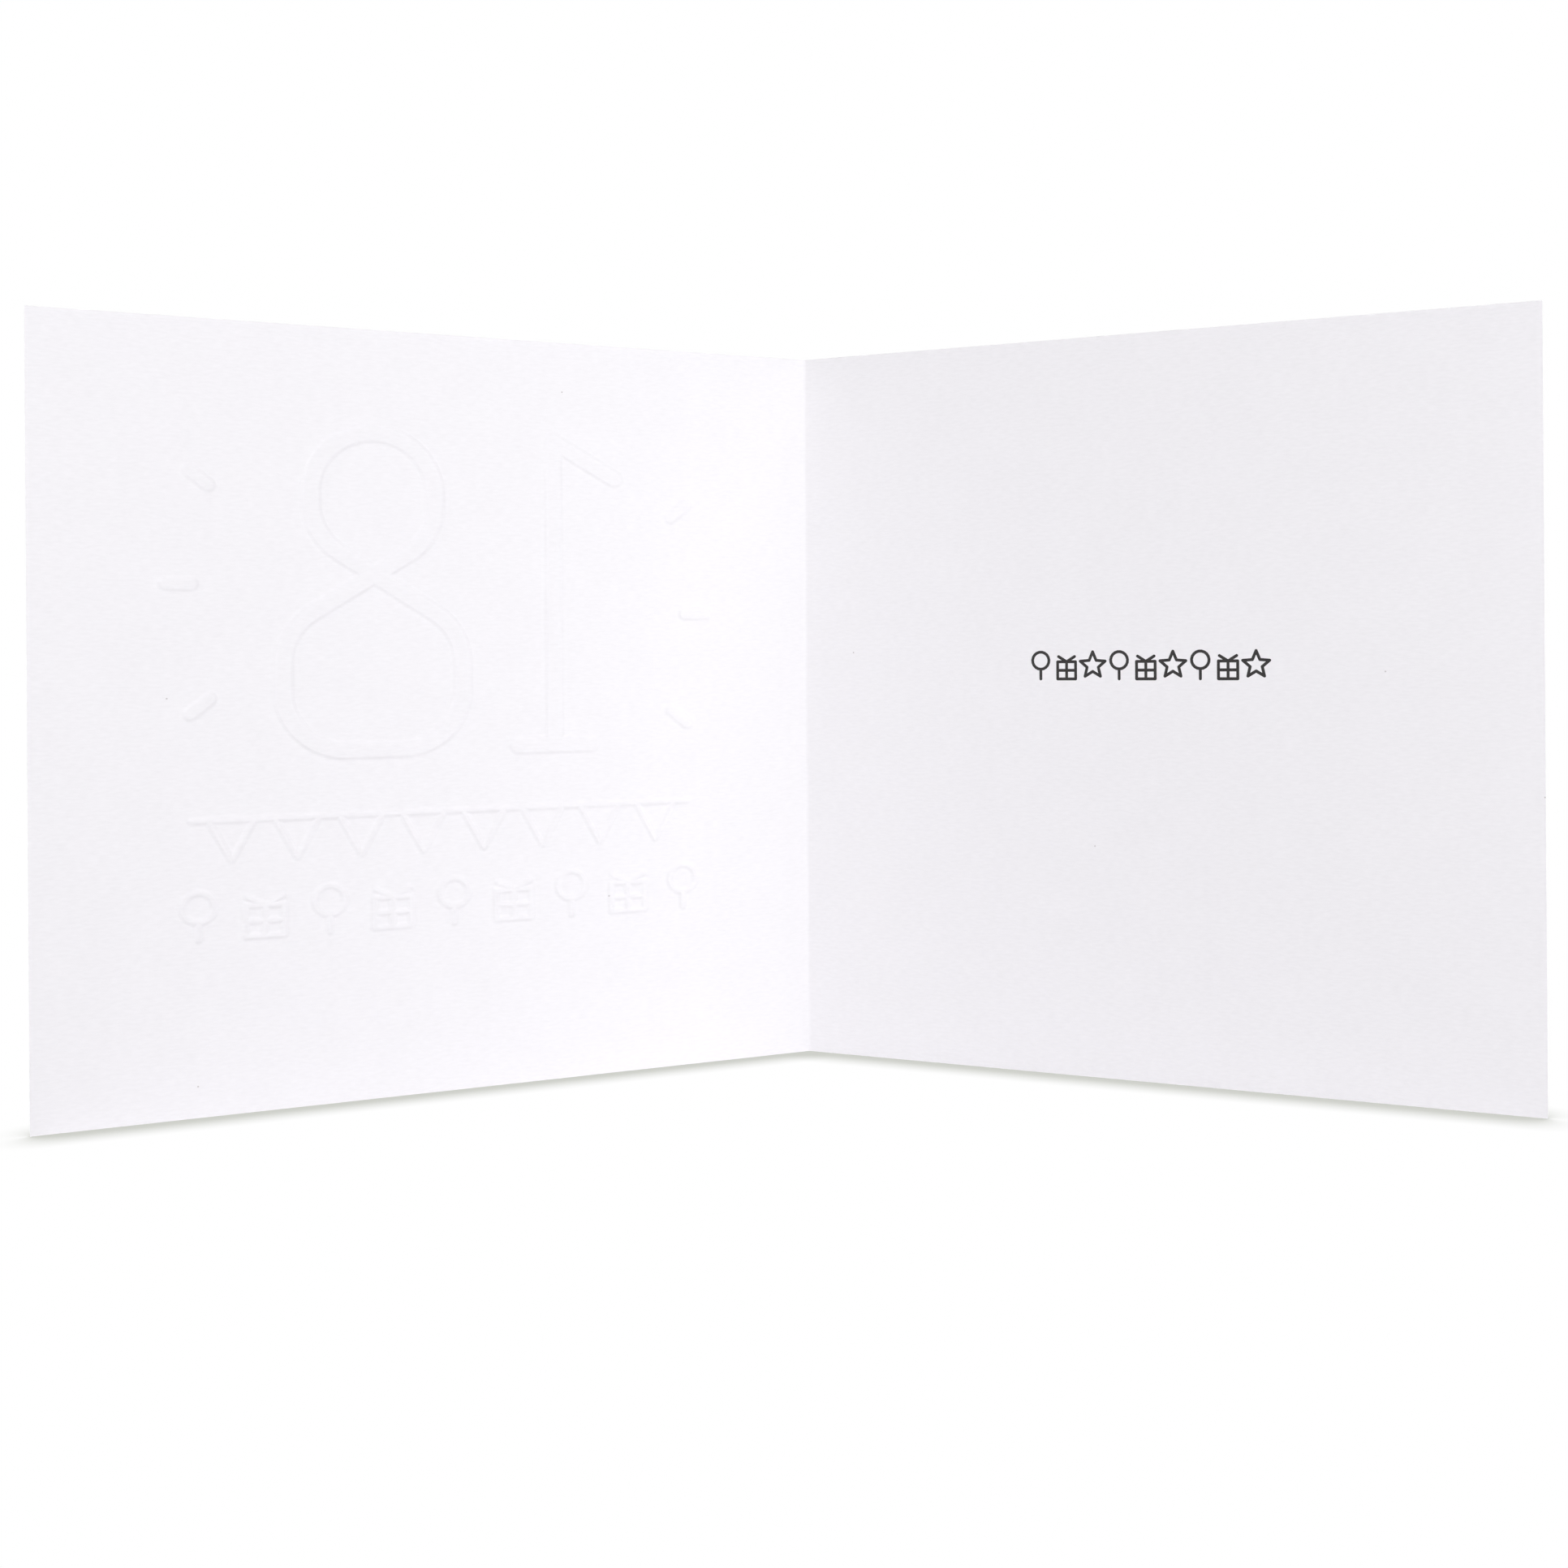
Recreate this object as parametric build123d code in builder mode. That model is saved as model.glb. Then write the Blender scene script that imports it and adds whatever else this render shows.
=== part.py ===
import os
from math import cos, radians, sin, tan

from build123d import *

# The board, in millimetres and degrees: one sheet, folded once into two covers
card_height = 150.0
cover_width = 150.0
board_thickness = 0.4
open_angle = 133.7

# The fold is a rounded bend, marked along its outside by the nose of the creasing rule
fold_radius = 1.1
rule_radius = 0.36
score_depth = 0.1

# The relief is pressed into the front cover: hollow outside, raised inside, with sloping walls
press_depth = 0.3
wall_slope = 45.0

# Both numerals: they hang from the card's top edge, and the pair sits about the cover's middle
numeral_stroke = 3.3
numeral_height = 61.7
numeral_drop = 20.2
numeral_spacing = 35.0
eight_past_middle = 14.8

# Numeral eight: two loops with straight sides, the lower one wider and with a flat base, and strokes
# that cross between them; all its bends have one radius, which follows from the height
upper_side = 2.2
lower_side = 5.3
loop_difference = 5.2
cross_slope = 33.0

# Numeral one: a stem, a flag that slopes back from its top, and a foot
flag_length = 14.5
flag_slope = 30.0
foot_length = 14.6
stem_lap = 1.0

# A burst of short dashes each side of the numerals: a level one, and slanted ones above and below it.
# The burst by the fold hangs lower, and the one by the free edge has its level dash a little high
dash_stroke = 2.3
dash_length = 6.7
dash_clearance = 13.3
dash_slant = 40.0
dash_rise = 21.5
dash_inset = 3.6
edge_burst_drop = 0.4
edge_dash_lift = 1.5
fold_burst_drop = 4.2

# Two rows of marks below the numerals, drawn in one thin stroke
mark_stroke = 1.0
mark_width = 8.0
mark_height = 9.8
mark_spacing = 11.7
lower_row_foot = 32.8
row_spacing = 13.4

# Upper row: a bunting of pennants on a straight cord
pennants_in_row = 8
pennant_width = 9.0
pennant_drop = 7.6
cord_end = 3.0

# Lower row: balloons on strings and parcels tied with ribbon, by turns
marks_in_lower_row = 9
balloon_radius = 2.8
parcel_height = 6.8
bow_loop = 4.0
bow_slope = 28.0

# Where the fold and the free edges come, so that the standing card is centred on its origin
lean = 90 - open_angle / 2
outer_radius = fold_radius + board_thickness
bend_length = (fold_radius + board_thickness / 2) * radians(lean)
flat_length = cover_width - bend_length
rule_centre = outer_radius + rule_radius - score_depth
fold_back = (outer_radius**2 - rule_radius**2 + rule_centre**2) / (2 * rule_centre)
edge_front = fold_radius * cos(radians(lean)) - flat_length * sin(radians(lean))
bend_centre = Vector(0, -(fold_back + edge_front) / 2, 0)

# The front cover's inner face: X runs away from the fold, and Z points out of the card
away = Vector(-cos(radians(lean)), -sin(radians(lean)), 0)
outwards = Vector(-sin(radians(lean)), cos(radians(lean)), 0)
cover_start = bend_centre + outwards * fold_radius - away * bend_length
front_inside = Plane(origin=cover_start, x_dir=away, z_dir=outwards)
front_outside = front_inside.offset(board_thickness)

# The raised strokes are wider than the hollow ones, so that the walls are as thick as the board
wall_taper = 90 - wall_slope
wall_growth = 2 * board_thickness * tan(radians(wall_slope / 2))
pressings = (
    (front_inside, wall_growth, Mode.ADD),
    (front_outside, 0, Mode.SUBTRACT),
)

# Centre lines of the numerals and of the bursts
numeral_top = card_height - numeral_drop
numeral_foot = numeral_top - numeral_height
cover_middle = cover_width / 2
eight_axis = cover_middle + eight_past_middle
one_axis = eight_axis - numeral_spacing
cross_drop = loop_difference * tan(radians(cross_slope))
bends_height = numeral_height - upper_side - lower_side - cross_drop
bend_radius = bends_height / (2 + 2 / cos(radians(cross_slope)))
bend_sweep = 90 - cross_slope
upper_bend = numeral_top - bend_radius
lower_bend = numeral_foot + bend_radius
lower_reach = bend_radius + loop_difference
numeral_middle = (numeral_top + numeral_foot) / 2
bursts = (
    (1, numeral_middle - edge_burst_drop, edge_dash_lift),
    (-1, numeral_middle - fold_burst_drop, 0),
)
burst_reach = eight_past_middle + lower_reach + numeral_stroke / 2 + dash_clearance + dash_length / 2

# Places of the marks along both rows, from the fold to the free edge, and the heights of their centre lines
cord_height = lower_row_foot + row_spacing + mark_height - mark_stroke / 2
cord_length = (pennants_in_row - 1) * mark_spacing + pennant_width + 2 * cord_end
half_pennant = (pennant_width - mark_stroke) / 2
balloon_height = lower_row_foot + mark_height - mark_stroke / 2 - balloon_radius
string_top = balloon_height - balloon_radius
string_length = string_top - lower_row_foot
parcel_middle = lower_row_foot + parcel_height / 2
lower_row_start = cover_middle - (marks_in_lower_row - 1) * mark_spacing / 2
places = [lower_row_start + number * mark_spacing for number in range(marks_in_lower_row)]
balloons, parcels = places[::2], places[1::2]
box_width = mark_width - mark_stroke
box_height = parcel_height - mark_stroke

with BuildPart() as card:
    # Folded sheet, seen from above, with the rule's mark along the outside of the fold
    with BuildSketch(Plane(bend_centre)):
        with BuildLine():
            inner_bend = CenterArc((0, 0), fold_radius, 90 - lean, lean)
            outer_bend = CenterArc((0, 0), outer_radius, 90 - lean, lean)
            inner_face = PolarLine(inner_bend @ 0, flat_length, -lean)
            outer_face = PolarLine(outer_bend @ 0, flat_length, -lean)
            Line(inner_face @ 1, outer_face @ 1)
            Line(inner_bend @ 1, outer_bend @ 1)
        make_face()
        mirror(about=Plane.YZ)
        with Locations((0, rule_centre)):
            Circle(rule_radius, mode=Mode.SUBTRACT)
    extrude(amount=card_height)

    for plane, growth, mode in pressings:
        stroke = numeral_stroke + growth

        # Bursts of dashes
        with BuildSketch(plane):
            for side, height, level_lift in bursts:
                for step, lift in ((-1, 0), (0, level_lift), (1, 0)):
                    across = cover_middle + side * (burst_reach - abs(step) * dash_inset)
                    with Locations((across, height + lift + step * dash_rise)):
                        SlotOverall(dash_length + growth, dash_stroke + growth, side * step * dash_slant)
        extrude(amount=-press_depth, taper=wall_taper, mode=mode)

        # Numeral one: stem and flag in one stroke, and the foot across its lower end
        with BuildSketch(plane):
            with BuildLine():
                stem = Line((one_axis, numeral_foot + stem_lap), (one_axis, numeral_top))
                PolarLine(stem @ 1, flag_length, 180 + flag_slope)
                offset(amount=stroke / 2)
            make_face()
        extrude(amount=-press_depth, taper=wall_taper, mode=mode)
        with BuildSketch(plane):
            with Locations((one_axis, numeral_foot)):
                SlotCenterToCenter(foot_length, stroke)
        extrude(amount=-press_depth, taper=wall_taper, mode=mode)

        # Numeral eight: one long stroke from the top of the figure to its foot, and its mirror image
        with BuildLine(plane) as half_eight:
            top = CenterArc((eight_axis, upper_bend), bend_radius, 90, -90)
            turn = CenterArc((eight_axis, upper_bend - upper_side), bend_radius, 0, -bend_sweep)
            shoulder_spot = (eight_axis - loop_difference, lower_bend + lower_side)
            shoulder = CenterArc(shoulder_spot, bend_radius, 90 + cross_slope, bend_sweep)
            corner = CenterArc((eight_axis - loop_difference, lower_bend), bend_radius, 180, 90)
            Line(top @ 1, turn @ 0)
            Line(turn @ 1, shoulder @ 0)
            Line(shoulder @ 1, corner @ 0)
            Line(corner @ 1, (eight_axis, numeral_foot))
        with BuildSketch(Plane(half_eight.line @ 0, x_dir=plane.y_dir, z_dir=half_eight.line % 0)):
            Trapezoid(stroke, press_depth, wall_slope, rotation=180, align=(Align.CENTER, Align.MIN))
        half = sweep(path=half_eight.line, mode=Mode.PRIVATE)
        add(half, mode=mode)
        mirror(half, about=Plane(half_eight.line @ 0, z_dir=away), mode=mode)

        # Rows of marks: outlines of pennants, balloons and parcels, each filled first and then hollowed
        mark = mark_stroke + growth
        with BuildSketch(plane) as rows:
            with Locations((cover_middle, cord_height)):
                with GridLocations(mark_spacing, 0, pennants_in_row, 1):
                    Polygon((-half_pennant, 0), (half_pennant, 0), (0, -pennant_drop), align=None)
            with Locations(*[(across, balloon_height) for across in balloons]):
                Circle(balloon_radius)
            with Locations(*[(across, parcel_middle) for across in parcels]):
                Rectangle(box_width, box_height)
            shapes = rows.sketch_local
            offset(shapes, amount=mark / 2, kind=Kind.INTERSECTION, mode=Mode.REPLACE)
            offset(shapes, amount=-mark / 2, kind=Kind.INTERSECTION, mode=Mode.SUBTRACT)

            # Straight strokes: the cord, the balloons' strings, and the ribbons with their bows
            with Locations((cover_middle, cord_height)):
                Rectangle(cord_length + growth, mark)
            with Locations(*[(across, string_top) for across in balloons]):
                Rectangle(mark, string_length + growth / 2, align=(Align.CENTER, Align.MAX))
            with Locations(*[(across, parcel_middle) for across in parcels]):
                Rectangle(mark, box_height)
                Rectangle(box_width, mark)
                with Locations((0, box_height / 2)):
                    for slope in (bow_slope, 180 - bow_slope):
                        Rectangle(bow_loop + growth / 2, mark, slope, align=(Align.MIN, Align.CENTER))
        extrude(amount=-press_depth, taper=wall_taper, mode=mode)

card.part.label = "card"

os.makedirs("parts", exist_ok=True)
export_step(card.part, "parts/card.step")
size = card.part.bounding_box().size
print(f"card {size.X:.2f} x {size.Y:.2f} x {size.Z:.2f} mm, {card.part.volume:.0f} mm3")
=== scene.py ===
from math import atan2, ceil, cos, pi, radians, sin, tan

import bpy
import numpy as np
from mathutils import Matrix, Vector
from mathutils.geometry import delaunay_2d_cdt


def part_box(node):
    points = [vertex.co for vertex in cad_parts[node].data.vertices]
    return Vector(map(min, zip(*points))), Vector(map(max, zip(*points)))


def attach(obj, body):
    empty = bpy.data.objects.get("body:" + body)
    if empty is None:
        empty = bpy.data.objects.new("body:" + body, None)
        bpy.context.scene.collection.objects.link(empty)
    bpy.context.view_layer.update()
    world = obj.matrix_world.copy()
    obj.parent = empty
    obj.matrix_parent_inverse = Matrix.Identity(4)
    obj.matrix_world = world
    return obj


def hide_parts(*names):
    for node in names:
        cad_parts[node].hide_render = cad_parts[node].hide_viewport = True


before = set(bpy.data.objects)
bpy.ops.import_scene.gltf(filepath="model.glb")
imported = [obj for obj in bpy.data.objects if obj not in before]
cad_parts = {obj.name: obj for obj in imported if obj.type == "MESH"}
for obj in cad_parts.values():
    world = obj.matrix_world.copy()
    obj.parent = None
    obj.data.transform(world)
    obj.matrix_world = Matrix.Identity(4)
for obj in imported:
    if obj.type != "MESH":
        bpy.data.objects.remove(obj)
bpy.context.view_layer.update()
low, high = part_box("card")
mm = 0.001
print("frame loaded: the card is", [round(side / mm, 1) for side in high - low], "mm")

# the sheet, before and after it is folded; the flat sheet stands along X, inner face towards -Y
board = {
    "coverWidth": 150 * mm,
    "height": high.z - low.z,
    "thickness": 0.4 * mm,
    "openAngle": radians(133.7),
    "foldRadius": 1.1 * mm,
    "scoreDepth": 0.1 * mm,
    "scoreWidth": 0.52 * mm,
    "bendStrips": 12,
    "flatBesideBend": 0.5,
    "sharpAngle": radians(60),
}
lean = (pi - board["openAngle"]) / 2
bendLength = (board["foldRadius"] + board["thickness"] / 2) * lean

# the pressing stands out on the inner face: its walls slope, and the sheet rounds their edges
pressing = {
    "depth": 0.3 * mm,
    "slope": radians(45),
    "softness": 0.25 * mm,
    "rings": (-0.5, 0, 0.16, 0.33, 0.5, 0.67, 0.84, 1, 1.5),
    "smallestRing": 0.05 * mm,
    "fewestArcSteps": 6,
    "arcStep": 0.6 * mm,
    "lineStep": 0.8 * mm,
    "cornerStep": radians(20),
    "turnedBack": -0.9999,
    "slack": 0.01 * mm,
    "mergeDistance": 0.002 * mm,
}

numerals = {
    "stroke": 3.3 * mm,
    "height": 61.7 * mm,
    "drop": 20.2 * mm,
    "spacing": 35 * mm,
    "eightPastMiddle": 14.8 * mm,
    "upperSide": 2.2 * mm,
    "lowerSide": 5.3 * mm,
    "loopDifference": 5.2 * mm,
    "crossSlope": radians(33),
    "flagLength": 14.5 * mm,
    "flagSlope": radians(30),
    "footLength": 14.6 * mm,
    "stemLap": 1 * mm,
}

burst = {
    "stroke": 2.3 * mm,
    "length": 6.7 * mm,
    "clearance": 13.3 * mm,
    "slant": radians(40),
    "rise": 21.5 * mm,
    "inset": 3.6 * mm,
    "edgeDrop": 0.4 * mm,
    "levelLift": 1.5 * mm,
    "foldDrop": 4.2 * mm,
}

rows = {
    "stroke": 1 * mm,
    "markWidth": 8 * mm,
    "markHeight": 9.8 * mm,
    "spacing": 11.7 * mm,
    "lowerRowFoot": 32.8 * mm,
    "rowSpacing": 13.4 * mm,
    "pennants": 8,
    "pennantWidth": 9 * mm,
    "pennantDrop": 7.6 * mm,
    "cordEnd": 3 * mm,
    "lowerRowMarks": 9,
    "balloonRadius": 2.8 * mm,
    "parcelHeight": 6.8 * mm,
    "bowLoop": 4 * mm,
    "bowSlope": radians(28),
}

# the printed line: small marks on the inside of the back cover
printed = {
    "stroke": 0.6 * mm,
    "marks": 9,
    "spacing": 5.5 * mm,
    "markWidth": 4.4 * mm,
    "markHeight": 6.1 * mm,
    "middle": 75.3 * mm,
    "foot": 80.4 * mm,
    "balloonRadius": 1.75 * mm,
    "parcelHeight": 4.1 * mm,
    "bowLoop": 2.3 * mm,
    "bowSlope": radians(32),
    "starNotch": 0.45,
}


def newTree(name, kind, inputs, outputs):
    tree = bpy.data.node_groups.new(name, kind)
    for socketName, socketKind, value in inputs:
        socket = tree.interface.new_socket(socketName, in_out="INPUT", socket_type=socketKind)
        if value is not None:
            socket.default_value = value
    for socketName, socketKind in outputs:
        tree.interface.new_socket(socketName, in_out="OUTPUT", socket_type=socketKind)
    return tree, tree.nodes.new("NodeGroupInput").outputs, tree.nodes.new("NodeGroupOutput").inputs


def addNode(tree, kind, inputs=(), **settings):
    node = tree.nodes.new(kind)
    for name, value in settings.items():
        setattr(node, name, value)
    for socket, value in dict(inputs).items():
        if isinstance(value, bpy.types.NodeSocket):
            tree.links.new(value, node.inputs[socket])
        else:
            node.inputs[socket].default_value = value
    return node


def calculate(tree, operation, *values):
    return addNode(tree, "ShaderNodeMath", enumerate(values), operation=operation).outputs[0]


def finishTree(tree, geometry, material, result, selection=True):
    real = addNode(tree, "GeometryNodeRealizeInstances", {"Geometry": geometry})
    dressed = addNode(tree, "GeometryNodeSetMaterial",
                      {"Geometry": real.outputs[0], "Selection": selection, "Material": material})
    tree.links.new(dressed.outputs[0], result)


def runTree(piece, tree, values):
    modifier = piece.modifiers.new(tree.name, "NODES")
    modifier.node_group = tree
    for item in tree.interface.items_tree:
        if item.item_type == "SOCKET" and item.in_out == "INPUT" and item.name in values:
            modifier[item.identifier] = values[item.name]


def makePlain(piece):
    evaluated = piece.evaluated_get(bpy.context.evaluated_depsgraph_get())
    mesh = bpy.data.meshes.new_from_object(evaluated)
    piece.modifiers.clear()
    piece.data = mesh
    return piece


def newPiece(name, points, edges=(), faces=()):
    mesh = bpy.data.meshes.new(name)
    mesh.from_pydata([tuple(point) for point in points], edges, faces)
    piece = bpy.data.objects.new(name, mesh)
    bpy.context.scene.collection.objects.link(piece)
    return piece


# strokes are lists of (points, closed), with points as (along, height)
def arc(centre, radius, start, sweep):
    byLength = ceil(abs(sweep) * radius / pressing["arcStep"])
    byTurn = ceil(abs(sweep) / pressing["cornerStep"])
    count = max(pressing["fewestArcSteps"], byLength, byTurn)
    turns = [start + sweep * step / count for step in range(count + 1)]
    return [(centre[0] + radius * cos(turn), centre[1] + radius * sin(turn)) for turn in turns]


def ray(start, length, direction):
    return [start, (start[0] + length * cos(direction), start[1] + length * sin(direction))]


def eightBend():
    slope = numerals["crossSlope"]
    bends = numerals["height"] - numerals["upperSide"] - numerals["lowerSide"]
    return (bends - numerals["loopDifference"] * tan(slope)) / (2 + 2 / cos(slope))


def drawNumerals():
    top = board["height"] - numerals["drop"]
    foot = top - numerals["height"]
    eight = board["coverWidth"] / 2 + numerals["eightPastMiddle"]
    one = eight - numerals["spacing"]
    bend = eightBend()
    slope = numerals["crossSlope"]
    inner = eight - numerals["loopDifference"]
    half = arc((eight, top - bend), bend, pi / 2, -pi / 2)
    half += arc((eight, top - bend - numerals["upperSide"]), bend, 0, slope - pi / 2)
    half += arc((inner, foot + bend + numerals["lowerSide"]), bend, pi / 2 + slope, pi / 2 - slope)
    half += arc((inner, foot + bend), bend, pi, pi / 2)
    otherHalf = [(2 * eight - along, height) for along, height in reversed(half[1:])]
    stem = [(one, foot + numerals["stemLap"]), (one, top)]
    flag = ray((one, top), numerals["flagLength"], pi + numerals["flagSlope"])
    footEnd = numerals["footLength"] / 2
    return [(half + otherHalf, True),
            (stem + flag[1:], False),
            ([(one - footEnd, foot), (one + footEnd, foot)], False)]


def drawBursts():
    middle = board["coverWidth"] / 2
    level = board["height"] - numerals["drop"] - numerals["height"] / 2
    eightReach = eightBend() + numerals["loopDifference"] + numerals["stroke"] / 2
    reach = numerals["eightPastMiddle"] + eightReach + burst["clearance"] + burst["length"] / 2
    half = (burst["length"] - burst["stroke"]) / 2
    strokes = []
    bursts = ((1, level - burst["edgeDrop"], burst["levelLift"]), (-1, level - burst["foldDrop"], 0))
    for side, height, levelLift in bursts:
        for step, lift in ((-1, 0), (0, levelLift), (1, 0)):
            across = middle + side * (reach - abs(step) * burst["inset"])
            centre = (across, height + lift + step * burst["rise"])
            slant = side * step * burst["slant"]
            strokes.append(([ray(centre, -half, slant)[1], ray(centre, half, slant)[1]], False))
    return strokes


def drawPennant():
    half = (rows["pennantWidth"] - rows["stroke"]) / 2
    return [([(-half, 0), (0, -rows["pennantDrop"]), (half, 0)], False)]


def drawBalloon(size):
    radius = size["balloonRadius"]
    middle = size["markHeight"] - size["stroke"] / 2 - radius
    return [(arc((0, middle), radius, -pi / 2, 2 * pi)[:-1], True),
            ([(0, size["stroke"] / 2), (0, middle - radius)], False)]


def drawParcel(size):
    side = (size["markWidth"] - size["stroke"]) / 2
    foot = size["stroke"] / 2
    lid = size["parcelHeight"] - foot
    middle = (foot + lid) / 2
    slopes = (size["bowSlope"], pi - size["bowSlope"])
    bow = [ray((0, lid), size["bowLoop"] - foot, slope) for slope in slopes]
    return [([(-side, foot), (side, foot), (side, lid), (-side, lid)], True),
            ([(0, foot), (0, lid)], False),
            ([(-side, middle), (side, middle)], False),
            (bow[0], False),
            (bow[1], False)]


def drawStar(size):
    reach = size["markHeight"] / 2 - size["stroke"] / 2
    centre = (0, size["markHeight"] / 2)
    radii = (reach, reach * size["starNotch"])
    return [([ray(centre, radii[corner % 2], pi / 2 + corner * pi / 5)[1] for corner in range(10)], True)]


def strokeObject(name, strokes):
    points, edges = [], []
    for line, closed in strokes:
        first = len(points)
        points += [(along, 0, height) for along, height in line]
        edges += [(first + step, first + step + 1) for step in range(len(line) - 1)]
        if closed:
            edges.append((len(points) - 1, first))
    return newPiece(name, points, edges)


# a row repeats one mark along X
rowTree, rowInput, rowResult = newTree(
    "markRow", "GeometryNodeTree",
    [("Mark", "NodeSocketGeometry", None), ("Count", "NodeSocketInt", 1),
     ("First", "NodeSocketVector", None), ("Spacing", "NodeSocketFloat", 0.01),
     ("Material", "NodeSocketMaterial", None)],
    [("Row", "NodeSocketGeometry")])
spacing = addNode(rowTree, "ShaderNodeCombineXYZ", {"X": rowInput["Spacing"]})
places = addNode(rowTree, "GeometryNodeMeshLine", {
    "Count": rowInput["Count"], "Start Location": rowInput["First"], "Offset": spacing.outputs[0],
})
copies = addNode(rowTree, "GeometryNodeInstanceOnPoints",
                 {"Points": places.outputs[0], "Instance": rowInput["Mark"]})
finishTree(rowTree, copies.outputs[0], rowInput["Material"], rowResult["Row"])


def markRow(name, strokes, count, middle, height, step):
    row = strokeObject(name, strokes)
    first = (middle - step * (count - 1) / 2, 0, height)
    runTree(row, rowTree, {"Count": count, "First": first, "Spacing": step})
    return makePlain(row)


def readStrokes(piece):
    neighbours = {}
    for edge in piece.data.edges:
        for here, there in (edge.vertices, reversed(edge.vertices)):
            neighbours.setdefault(here, []).append(there)
    strokes = []
    unused = set(neighbours)
    for start in sorted(neighbours, key=lambda vertex: (len(neighbours[vertex]), vertex)):
        if start not in unused:
            continue
        line = [start]
        unused.remove(start)
        while True:
            onward = [vertex for vertex in neighbours[line[-1]] if vertex in unused]
            if not onward:
                break
            line.append(onward[0])
            unused.remove(onward[0])
        points = [piece.data.vertices[vertex].co.xz.copy() for vertex in line]
        strokes.append((points, len(neighbours[start]) == 2))
    return strokes


def joinStrokes(name, pieces):
    strokes = [stroke for piece in pieces for stroke in readStrokes(piece)]
    for piece in pieces:
        bpy.data.objects.remove(piece)
    return strokeObject(name, [([tuple(point) for point in line], closed) for line, closed in strokes])


def mirrored(strokes):
    return [([(-along, height) for along, height in line], closed) for line, closed in strokes]


def heading(angle):
    return Vector((cos(angle), sin(angle)))


def ringAround(path, radius):
    # one side of a closed path, at a distance: round at outer corners, mitred at inner ones
    ring = []
    for index, corner in enumerate(path):
        before = (corner - path[index - 1]).normalized()
        after = (path[(index + 1) % len(path)] - corner).normalized()
        turn = atan2(before.cross(after), before.dot(after))
        if before.dot(after) < pressing["turnedBack"]:
            turn = -pi  # round the end of an open stroke
        facing = atan2(before.y, before.x) + pi / 2
        if turn < -pressing["cornerStep"]:
            count = ceil(-turn / pressing["cornerStep"])
            ring += [corner + radius * heading(facing + turn * step / count) for step in range(count + 1)]
        else:
            ring.append(corner + radius / cos(turn / 2) * heading(facing + turn / 2))
    return ring


def distances(points, strokes):
    spots = np.array([tuple(point) for point in points])
    nearest = np.full(len(spots), np.inf)
    for line, closed in strokes:
        corners = np.array([tuple(point) for point in line])
        ends = np.roll(corners, -1, axis=0)
        if not closed:
            corners, ends = corners[:-1], ends[:-1]
        spans = ends - corners
        offsets = spots[:, None] - corners
        share = np.clip((offsets * spans).sum(2) / (spans ** 2).sum(1), 0, 1)
        gaps = np.linalg.norm(offsets - share[..., None] * spans, axis=2)
        nearest = np.minimum(nearest, gaps.min(1))
    return nearest


def divided(line, closed):
    points = []
    for start, end in zip(line, line[1:] + line[:1] if closed else line[1:]):
        count = max(1, ceil((end - start).length / pressing["lineStep"]))
        points += [start.lerp(end, step / count) for step in range(count)]
    return points if closed else points + [line[-1]]


def addRings(points, edges, strokes, radius):
    for line, closed in strokes:
        line = divided(line, closed)
        paths = [line, line[::-1]] if closed else [line + line[-2:0:-1]]
        for path in paths:
            ring = ringAround(path, radius)
            onOutline = distances(ring, strokes) > radius - pressing["slack"]
            first = len(points)
            points += ring
            count = len(ring)
            edges += [(first + step, first + (step + 1) % count) for step in range(count)
                      if onOutline[step] or onOutline[(step + 1) % count]]


def wallEdges(stroke, lift):
    # where the wall starts and ends, from the stroke's middle; lift is how far out the face lies
    mouth = stroke / 2 + (board["thickness"] - lift) * tan(pressing["slope"] / 2) + pressing["softness"]
    return mouth, mouth - pressing["depth"] / tan(pressing["slope"]) - 2 * pressing["softness"]


def cutFace(lift, pressed, inked):
    # one face of the flat sheet, triangulated along the walls, the bend and the print
    width, height = board["coverWidth"], board["height"]
    strips = board["bendStrips"]
    columns = [-width, width] + [bendLength * (2 * step / strips - 1) for step in range(strips + 1)]
    besideBend = (1 + board["flatBesideBend"]) * bendLength
    columns += [-besideBend, besideBend]
    columns.sort()
    points = [Vector((along, level)) for along in columns for level in (0, height)]
    edges = [(2 * step, 2 * step + 1) for step in range(len(columns))]
    edges += [(step, step + 2) for step in range(2 * len(columns) - 2)]
    for stroke, strokes in pressed:
        mouth, floor = wallEdges(stroke, lift)
        for share in pressing["rings"]:
            radius = mouth + share * (floor - mouth)
            if radius > pressing["smallestRing"]:
                addRings(points, edges, strokes, radius)
    for stroke, strokes in inked:
        addRings(points, edges, strokes, stroke / 2)
    print("  cutting a face with", len(points), "points")
    cut = delaunay_2d_cdt(points, edges, [], 0, pressing["mergeDistance"], False)
    return [(point.x, lift, point.y) for point in cut[0]], [tuple(face) for face in cut[2]]


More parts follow.
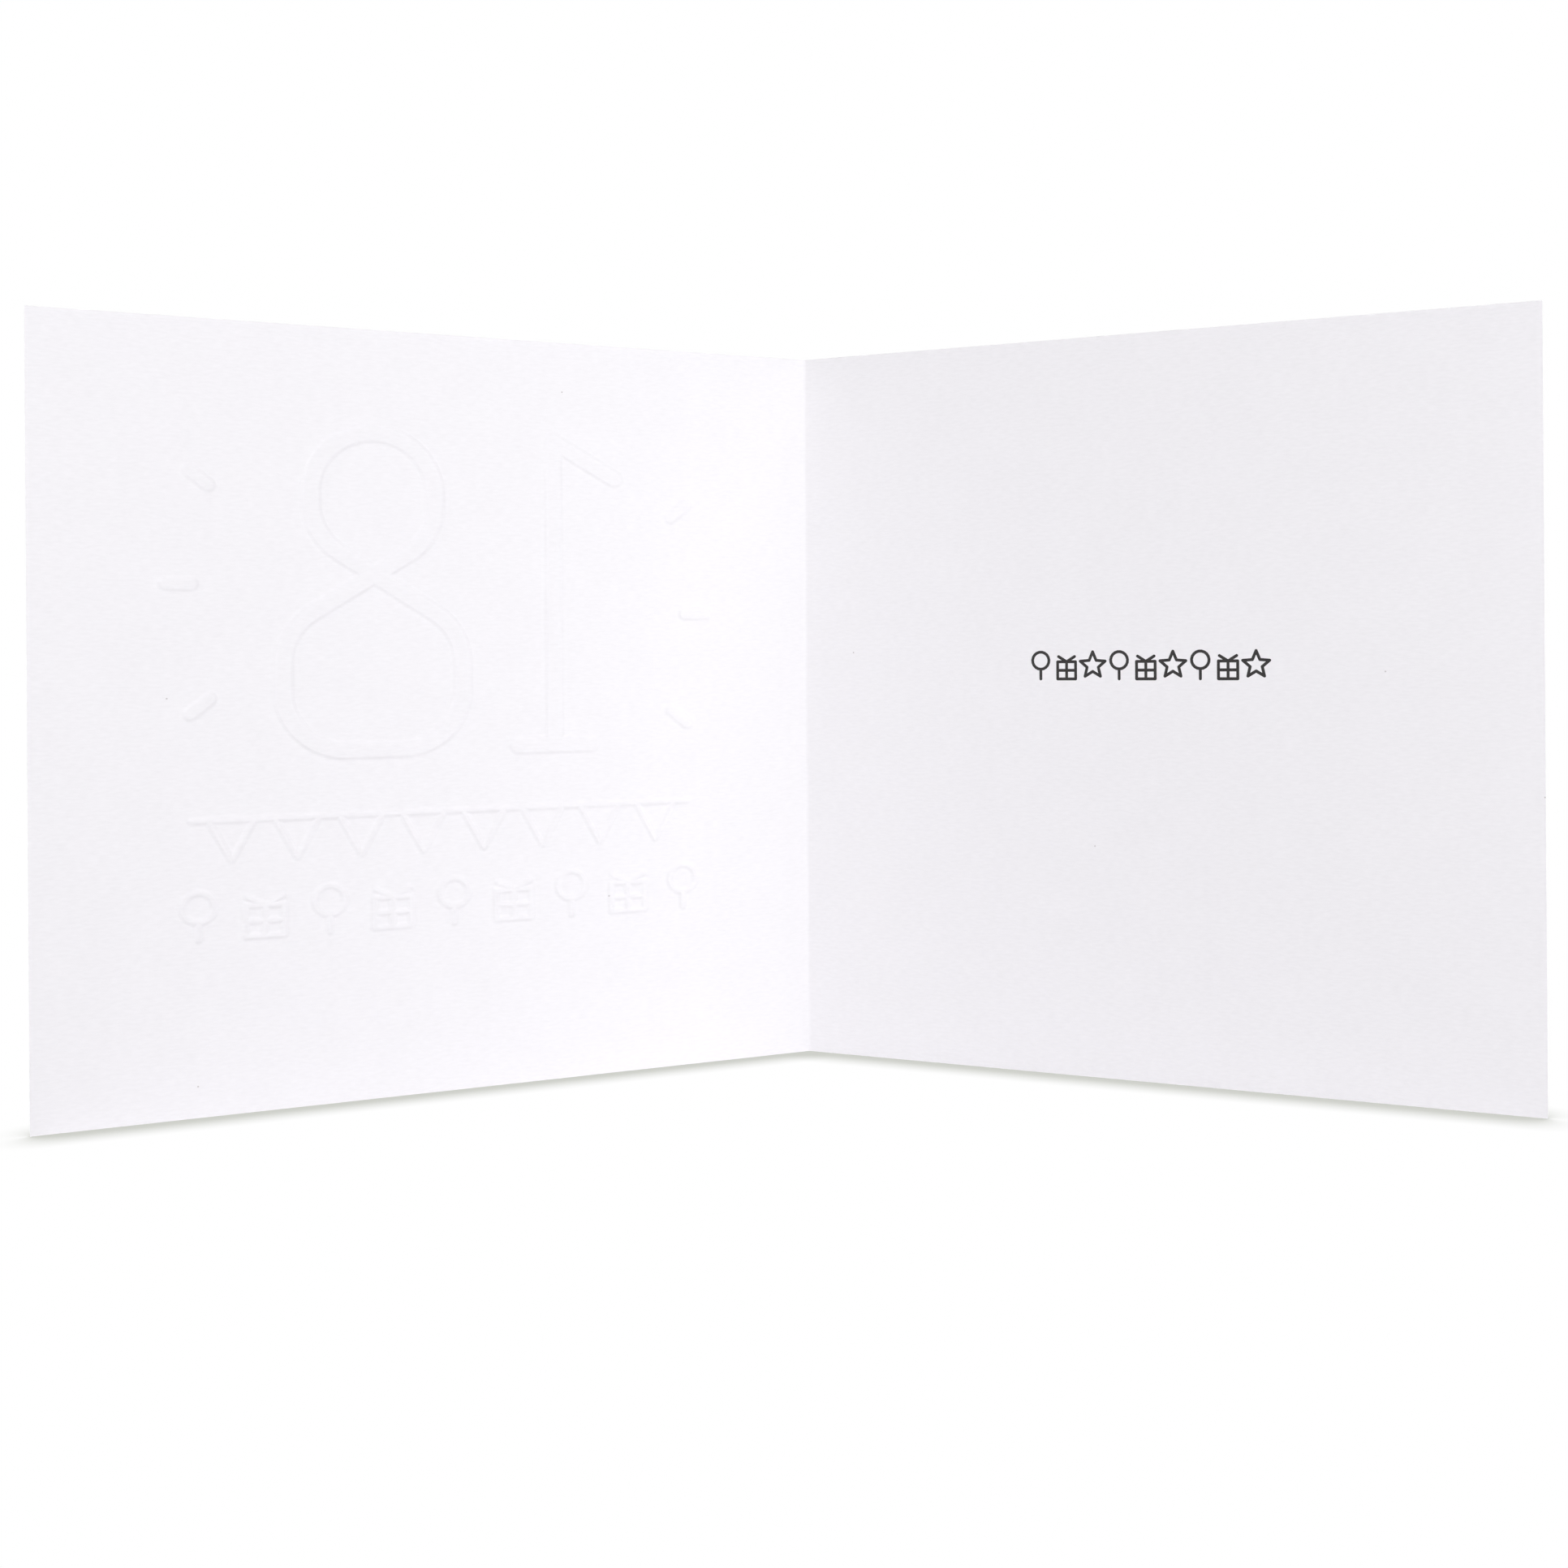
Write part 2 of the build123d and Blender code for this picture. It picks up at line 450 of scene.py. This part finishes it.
def buildSheet(name, pressed, inked):
    inner, innerFaces = cutFace(0, pressed, inked)
    outer, outerFaces = cutFace(board["thickness"], pressed, [])
    first = len(inner)
    faces = innerFaces + [tuple(first + vertex for vertex in reversed(face)) for face in outerFaces]
    tiny = 0.001 * mm
    rims = []
    for points, start in ((inner, 0), (outer, first)):
        top = [start + index for index, point in enumerate(points) if point[2] > board["height"] - tiny]
        bottom = [start + index for index, point in enumerate(points) if point[2] < tiny]
        everyPoint = inner + outer
        top.sort(key=lambda index: everyPoint[index][0])
        bottom.sort(key=lambda index: -everyPoint[index][0])
        rims.append(top + bottom)
    innerRim, outerRim = rims
    count = len(innerRim)
    for step in range(count):
        onward = (step + 1) % count
        faces.append((innerRim[step], innerRim[onward], outerRim[onward], outerRim[step]))
    sheet = newPiece(name, inner + outer, (), faces)
    outerFace = sheet.data.attributes.new("outerFace", "BOOLEAN", "POINT")
    outerFace.data.foreach_set("value", [False] * len(inner) + [True] * len(outer))
    return sheet


# pressing: points near the strokes move inwards, by a smooth wall
pressTree, pressInput, pressResult = newTree(
    "pressedRelief", "GeometryNodeTree",
    [("Sheet", "NodeSocketGeometry", None), ("Strokes", "NodeSocketObject", None),
     ("Stroke Width", "NodeSocketFloat", 0.001), ("Depth", "NodeSocketFloat", 0.0),
     ("Wall Slope", "NodeSocketFloat", 0.8), ("Softness", "NodeSocketFloat", 0.0),
     ("Thickness", "NodeSocketFloat", 0.0004),
     ("Material", "NodeSocketMaterial", None)],
    [("Sheet", "NodeSocketGeometry")])
place = addNode(pressTree, "GeometryNodeInputPosition").outputs[0]
lift = addNode(pressTree, "ShaderNodeSeparateXYZ", {0: place}).outputs["Y"]
fromOuter = calculate(pressTree, "SUBTRACT", pressInput["Thickness"], lift)
onPlane = addNode(pressTree, "ShaderNodeVectorMath", {0: place, 1: (1, 0, 1)},
                  operation="MULTIPLY").outputs[0]
strokeLines = addNode(pressTree, "GeometryNodeObjectInfo",
                      {"Object": pressInput["Strokes"]}).outputs["Geometry"]
nearStroke = addNode(pressTree, "GeometryNodeProximity", {0: strokeLines, "Sample Position": onPlane},
                     target_element="EDGES").outputs["Distance"]
halfAngle = calculate(pressTree, "MULTIPLY", pressInput["Wall Slope"], 0.5)
halfSlope = calculate(pressTree, "TANGENT", halfAngle)
halfStroke = calculate(pressTree, "MULTIPLY_ADD", pressInput["Stroke Width"], 0.5, pressInput["Softness"])
wallMouth = calculate(pressTree, "MULTIPLY_ADD", fromOuter, halfSlope, halfStroke)
wallSlope = calculate(pressTree, "TANGENT", pressInput["Wall Slope"])
wallRun = calculate(pressTree, "DIVIDE", pressInput["Depth"], wallSlope)
wallWidth = calculate(pressTree, "MULTIPLY_ADD", pressInput["Softness"], 2.0, wallRun)
wallFloor = calculate(pressTree, "SUBTRACT", wallMouth, wallWidth)
inwards = calculate(pressTree, "MULTIPLY", pressInput["Depth"], -1.0)
pushed = addNode(pressTree, "ShaderNodeMapRange",
                 {"Value": nearStroke, "From Min": wallMouth, "From Max": wallFloor, "To Max": inwards},
                 interpolation_type="SMOOTHSTEP").outputs[0]
push = addNode(pressTree, "ShaderNodeCombineXYZ", {"Y": pushed}).outputs[0]
moved = addNode(pressTree, "GeometryNodeSetPosition",
                {"Geometry": pressInput["Sheet"], "Offset": push}).outputs[0]
finishTree(pressTree, moved, pressInput["Material"], pressResult["Sheet"])

# printing: faces within half a stroke of the printed lines take the ink
printTree, printInput, printResult = newTree(
    "printedInk", "GeometryNodeTree",
    [("Sheet", "NodeSocketGeometry", None), ("Strokes", "NodeSocketObject", None),
     ("Stroke Width", "NodeSocketFloat", 0.001), ("Ink", "NodeSocketMaterial", None)],
    [("Sheet", "NodeSocketGeometry")])
printLines = addNode(printTree, "GeometryNodeObjectInfo",
                     {"Object": printInput["Strokes"]}).outputs["Geometry"]
nearLine = addNode(printTree, "GeometryNodeProximity", {0: printLines},
                   target_element="EDGES").outputs["Distance"]
halfLine = calculate(printTree, "MULTIPLY", printInput["Stroke Width"], 0.5)
isInk = calculate(printTree, "LESS_THAN", nearLine, halfLine)
finishTree(printTree, printInput["Sheet"], printInput["Ink"], printResult["Sheet"], isInk)


def foldSheet(piece):
    # rolls the middle of the flat sheet round the fold and swings both covers back
    mesh = piece.data
    count = len(mesh.vertices)
    flat = np.empty(count * 3)
    mesh.vertices.foreach_get("co", flat)
    along, lift, height = flat.reshape(-1, 3).T.copy()
    side = np.sign(along)
    radius = board["foldRadius"] + lift
    turn = np.clip(np.abs(along) / bendLength, 0, 1) * lean
    beyond = np.clip(np.abs(along) - bendLength, 0, None)
    outer = np.empty(count, dtype=bool)
    mesh.attributes["outerFace"].data.foreach_get("value", outer)
    fromCrease = np.abs(turn) * radius / (board["scoreWidth"] / 2)
    radius -= outer * board["scoreDepth"] * (1 + np.cos(pi * np.clip(fromCrease, 0, 1))) / 2
    across = side * (radius * np.sin(turn) + beyond * cos(lean))
    back = radius * np.cos(turn) - beyond * sin(lean)
    back += (high.y + low.y) / 2 - (back.max() + back.min()) / 2
    mesh.vertices.foreach_set("co", np.stack((across, back, height + low.z), 1).ravel())
    mesh.update()
    # a UV map of the flat sheet, in metres, with the outer face beside the inner one
    corners = np.empty(len(mesh.loops), dtype=np.int32)
    mesh.loops.foreach_get("vertex_index", corners)
    layer = mesh.uv_layers.new(name="flatSheet")
    spread = np.stack((along, height + outer * 2 * board["height"]), 1)[corners]
    layer.data.foreach_set("uv", spread.astype(np.float32).ravel())
    mesh.shade_smooth()
    mesh.set_sharp_from_angle(angle=board["sharpAngle"])


def newMaterial(name):
    material = bpy.data.materials.new(name)
    material.use_nodes = True
    return material, material.node_tree, material.node_tree.nodes["Principled BSDF"]


# fibres lie mostly one way, clouds are thicker and thinner patches, and a few specks are in the pulp
fibreTree, fibreInput, fibreResult = newTree(
    "paperFibre", "ShaderNodeTree",
    [("Fibre Length", "NodeSocketFloat", 0.002), ("Fibre Width", "NodeSocketFloat", 0.0005),
     ("Cloud Size", "NodeSocketFloat", 0.008), ("Speck Spacing", "NodeSocketFloat", 0.02),
     ("Speck Size", "NodeSocketFloat", 0.0002)],
    [("Height", "NodeSocketFloat"), ("Cloud", "NodeSocketFloat"), ("Speck", "NodeSocketFloat")])


def buildFibres():
    tree = fibreTree
    sheetPlace = addNode(tree, "ShaderNodeUVMap", uv_map="flatSheet").outputs[0]
    grainSize = addNode(tree, "ShaderNodeCombineXYZ", {
        "X": fibreInput["Fibre Length"], "Y": fibreInput["Fibre Width"], "Z": 1.0,
    }).outputs[0]
    grainPlace = addNode(tree, "ShaderNodeVectorMath", {0: sheetPlace, 1: grainSize},
                         operation="DIVIDE").outputs[0]
    grain = addNode(tree, "ShaderNodeTexNoise",
                    {"Vector": grainPlace, "Scale": 1.0, "Detail": 3.0, "Roughness": 0.6},
                    noise_dimensions="2D").outputs[0]
    cloudScale = calculate(tree, "DIVIDE", 1.0, fibreInput["Cloud Size"])
    cloud = addNode(tree, "ShaderNodeTexNoise",
                    {"Vector": sheetPlace, "Scale": cloudScale, "Detail": 2.0},
                    noise_dimensions="2D").outputs[0]
    speckScale = calculate(tree, "DIVIDE", 1.0, fibreInput["Speck Spacing"])
    cells = addNode(tree, "ShaderNodeTexVoronoi", {"Vector": sheetPlace, "Scale": speckScale},
                    voronoi_dimensions="2D").outputs
    speckReach = calculate(tree, "DIVIDE", fibreInput["Speck Size"], fibreInput["Speck Spacing"])
    speck = calculate(tree, "LESS_THAN", cells["Distance"], speckReach)
    tree.links.new(grain, fibreResult["Height"])
    tree.links.new(cloud, fibreResult["Cloud"])
    tree.links.new(speck, fibreResult["Speck"])


buildFibres()

paper = {
    "colour": (0.9, 0.885, 0.917, 1),
    "thinColour": (0.817, 0.802, 0.832, 1),
    "speckColour": (0.6, 0.57, 0.59, 1),
    "roughness": 0.75,
    "specular": 0.3,
    "bump": 0.13,
    "bumpHeight": 0.02 * mm,
    "fibreLength": 1.8 * mm,
    "fibreWidth": 0.45 * mm,
    "cloudSize": 9 * mm,
    "cloudShare": 0.15,
    "speckSpacing": 75 * mm,
    "speckSize": 0.16 * mm,
}

ink = {
    "colour": (0.02, 0.018, 0.018, 1),
    "worn": (0.044, 0.04, 0.041, 1),
    "roughness": 0.6,
    "specular": 0.2,
    "bump": 0.1,
}


def placeFibres(tree):
    group = addNode(tree, "ShaderNodeGroup", {
        "Fibre Length": paper["fibreLength"], "Fibre Width": paper["fibreWidth"],
        "Cloud Size": paper["cloudSize"],
        "Speck Spacing": paper["speckSpacing"], "Speck Size": paper["speckSize"],
    }, node_tree=fibreTree)
    return group.outputs


def bumpFrom(tree, shader, height, strength):
    bump = addNode(tree, "ShaderNodeBump",
                   {"Height": height, "Strength": strength, "Distance": paper["bumpHeight"]})
    tree.links.new(bump.outputs[0], shader.inputs["Normal"])


def blendColours(tree, share, first, second):
    node = addNode(tree, "ShaderNodeMix", data_type="RGBA")
    for socket, value in ((0, share), (6, first), (7, second)):
        if isinstance(value, bpy.types.NodeSocket):
            tree.links.new(value, node.inputs[socket])
        else:
            node.inputs[socket].default_value = value
    return node.outputs[2]


def paperMaterial():
    material, tree, shader = newMaterial("whiteBoard")
    fibres = placeFibres(tree)
    fineShare = calculate(tree, "MULTIPLY", fibres["Height"], 1 - paper["cloudShare"])
    thinness = calculate(tree, "MULTIPLY_ADD", fibres["Cloud"], paper["cloudShare"], fineShare)
    clouded = blendColours(tree, thinness, paper["colour"], paper["thinColour"])
    specked = blendColours(tree, fibres["Speck"], clouded, paper["speckColour"])
    tree.links.new(specked, shader.inputs["Base Color"])
    shader.inputs["Roughness"].default_value = paper["roughness"]
    shader.inputs["Specular IOR Level"].default_value = paper["specular"]
    bumpFrom(tree, shader, fibres["Height"], paper["bump"])
    return material


def inkMaterial():
    material, tree, shader = newMaterial("printedInk")
    fibres = placeFibres(tree)
    inked = blendColours(tree, fibres["Height"], ink["colour"], ink["worn"])
    tree.links.new(inked, shader.inputs["Base Color"])
    shader.inputs["Roughness"].default_value = ink["roughness"]
    shader.inputs["Specular IOR Level"].default_value = ink["specular"]
    bumpFrom(tree, shader, fibres["Height"], ink["bump"])
    return material


def buildCard():
    middle = board["coverWidth"] / 2
    cordHeight = rows["lowerRowFoot"] + rows["rowSpacing"] + rows["markHeight"] - rows["stroke"] / 2
    cordReach = ((rows["pennants"] - 1) * rows["spacing"] + rows["pennantWidth"]) / 2 + rows["cordEnd"]
    cordReach -= rows["stroke"] / 2
    cord = [([(middle - cordReach, cordHeight), (middle + cordReach, cordHeight)], False)]
    balloons = (rows["lowerRowMarks"] + 1) // 2
    parcels = rows["lowerRowMarks"] // 2
    foot = rows["lowerRowFoot"]
    marks = joinStrokes("partyMarks", [
        strokeObject("cord", mirrored(cord)),
        markRow("pennants", drawPennant(), rows["pennants"], -middle, cordHeight, rows["spacing"]),
        markRow("balloons", drawBalloon(rows), balloons, -middle, foot, 2 * rows["spacing"]),
        markRow("parcels", drawParcel(rows), parcels, -middle, foot, 2 * rows["spacing"]),
    ])
    figures = strokeObject("figures", mirrored(drawNumerals()))
    dashes = strokeObject("dashes", mirrored(drawBursts()))
    kinds = (("inkBalloons", drawBalloon), ("inkParcels", drawParcel), ("inkStars", drawStar))
    line = joinStrokes("printedMarks", [
        markRow(name, draw(printed), printed["marks"] // len(kinds),
                printed["middle"] + (number - 1) * printed["spacing"],
                printed["foot"], len(kinds) * printed["spacing"])
        for number, (name, draw) in enumerate(kinds)
    ])
    print("strokes drawn")

    pressed = [(numerals["stroke"], figures), (burst["stroke"], dashes), (rows["stroke"], marks)]
    inked = [(printed["stroke"], line)]
    sheet = buildSheet("foldedSheet",
                       [(stroke, readStrokes(piece)) for stroke, piece in pressed],
                       [(stroke, readStrokes(piece)) for stroke, piece in inked])
    white = paperMaterial()
    for stroke, strokes in pressed:
        runTree(sheet, pressTree, {
            "Strokes": strokes, "Stroke Width": stroke, "Depth": pressing["depth"],
            "Wall Slope": pressing["slope"], "Softness": pressing["softness"],
            "Thickness": board["thickness"], "Material": white,
        })
    runTree(sheet, printTree, {"Strokes": line, "Stroke Width": printed["stroke"], "Ink": inkMaterial()})
    makePlain(sheet)
    for piece in (figures, dashes, marks, line):
        bpy.data.objects.remove(piece)
    print("relief pressed:", len(sheet.data.polygons), "faces")
    foldSheet(sheet)
    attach(sheet, "root")
    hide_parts("card")


buildCard()
print("card folded")

stand = {
    "size": 3.0,
    "colour": (0.9, 0.9, 0.9, 1),
    "roughness": 0.9,
    # colour, reach and strength of the painted contact shadow on the floor
    "shadowColour": (0.62, 0.63, 0.59, 1),
    "shadowReach": 9.5 * mm,
    "shadowGain": 2.7,
    "shadowSamples": 16,
}


def seenDirectly(tree):
    path = addNode(tree, "ShaderNodeLightPath").outputs
    mirrorOrGlass = calculate(tree, "MAXIMUM", path["Is Glossy Ray"], path["Is Transmission Ray"])
    return calculate(tree, "MAXIMUM", path["Is Camera Ray"], mirrorOrGlass)


def floorMaterial():
    # the camera sees plain white, darkened by a painted contact shadow where the card stands close
    material, tree, shader = newMaterial("whiteFloor")
    shader.inputs["Base Color"].default_value = stand["colour"]
    shader.inputs["Roughness"].default_value = stand["roughness"]
    # painted shadow: ambient occlusion near the card tints the floor's seen colour towards the shadow colour
    openness = addNode(tree, "ShaderNodeAmbientOcclusion", {"Distance": stand["shadowReach"]},
                       samples=stand["shadowSamples"])
    closeness = calculate(tree, "SUBTRACT", 1.0, openness.outputs["AO"])
    shadow = calculate(tree, "MINIMUM", calculate(tree, "MULTIPLY", closeness, stand["shadowGain"]), 1.0)
    tone = blendColours(tree, shadow, (1, 1, 1, 1), stand["shadowColour"])
    seen = addNode(tree, "ShaderNodeEmission", {"Color": tone}).outputs[0]
    either = addNode(tree, "ShaderNodeMixShader", {0: seenDirectly(tree), 1: shader.outputs[0], 2: seen})
    tree.links.new(either.outputs[0], tree.nodes["Material Output"].inputs["Surface"])
    return material


half = stand["size"] / 2
floor = newPiece("floor", [(-half, -half, 0), (half, -half, 0), (half, half, 0), (-half, half, 0)],
                 (), [(0, 1, 2, 3)])
floor.data.materials.append(floorMaterial())

sky = {
    "colour": (1, 1, 1, 1),
    "strength": 0.1,
}


def buildSky():
    world = bpy.data.worlds.new("softWhite")
    bpy.context.scene.world = world
    world.use_nodes = True
    tree = world.node_tree
    strength = addNode(tree, "ShaderNodeMix", {0: seenDirectly(tree), 2: sky["strength"], 3: 1.0}).outputs[0]
    background = tree.nodes["Background"]
    background.inputs["Color"].default_value = sky["colour"]
    tree.links.new(strength, background.inputs["Strength"])


buildSky()

# two high lamps in front, a low one for the level edges of the relief, and one for the outside
lamps = {
    "frontLeft": {"place": (-0.557, -0.663, 0.57), "aim": (0, 0, 0.07), "size": 0.5, "power": 5.7},
    "right": {"place": (0.75, -0.433, 0.57), "aim": (0, 0, 0.07), "size": 0.5, "power": 2.6},
    "lowRight": {"place": (0.518, -0.299, 0.092), "aim": (0, 0, 0.04), "size": 0.3, "power": 1.78},
    "behind": {"place": (0.15, 0.85, 0.4), "aim": (0, 0, 0.075), "size": 0.5, "power": 6.1},
}


def addLamp(name, lamp):
    light = bpy.data.lights.new(name, "AREA")
    light.size = lamp["size"]
    light.energy = lamp["power"]
    piece = bpy.data.objects.new(name, light)
    piece.location = lamp["place"]
    piece.rotation_euler = (Vector(lamp["aim"]) - piece.location).to_track_quat("-Z", "Y").to_euler()
    piece.visible_camera = False
    bpy.context.scene.collection.objects.link(piece)


for lampName, lamp in lamps.items():
    addLamp(lampName, lamp)
print("floor and lamps placed")

viewpoint = {
    "place": (16.73 * mm, -333.38 * mm, 85.80 * mm),
    "roll": 0.40,
    "pan": -0.98,
    "lens": 38.314,
    "shift": (-0.08171, -0.08227),
    "clipStart": 10 * mm,
}
camera = bpy.data.objects.new("camera", bpy.data.cameras.new("camera"))
camera.location = viewpoint["place"]
camera.rotation_euler = (radians(90), radians(viewpoint["roll"]), radians(viewpoint["pan"]))
camera.data.lens = viewpoint["lens"]
camera.data.shift_x, camera.data.shift_y = viewpoint["shift"]
camera.data.clip_start = viewpoint["clipStart"]
bpy.context.scene.collection.objects.link(camera)
bpy.context.scene.camera = camera
bpy.context.scene.view_settings.view_transform = "Standard"
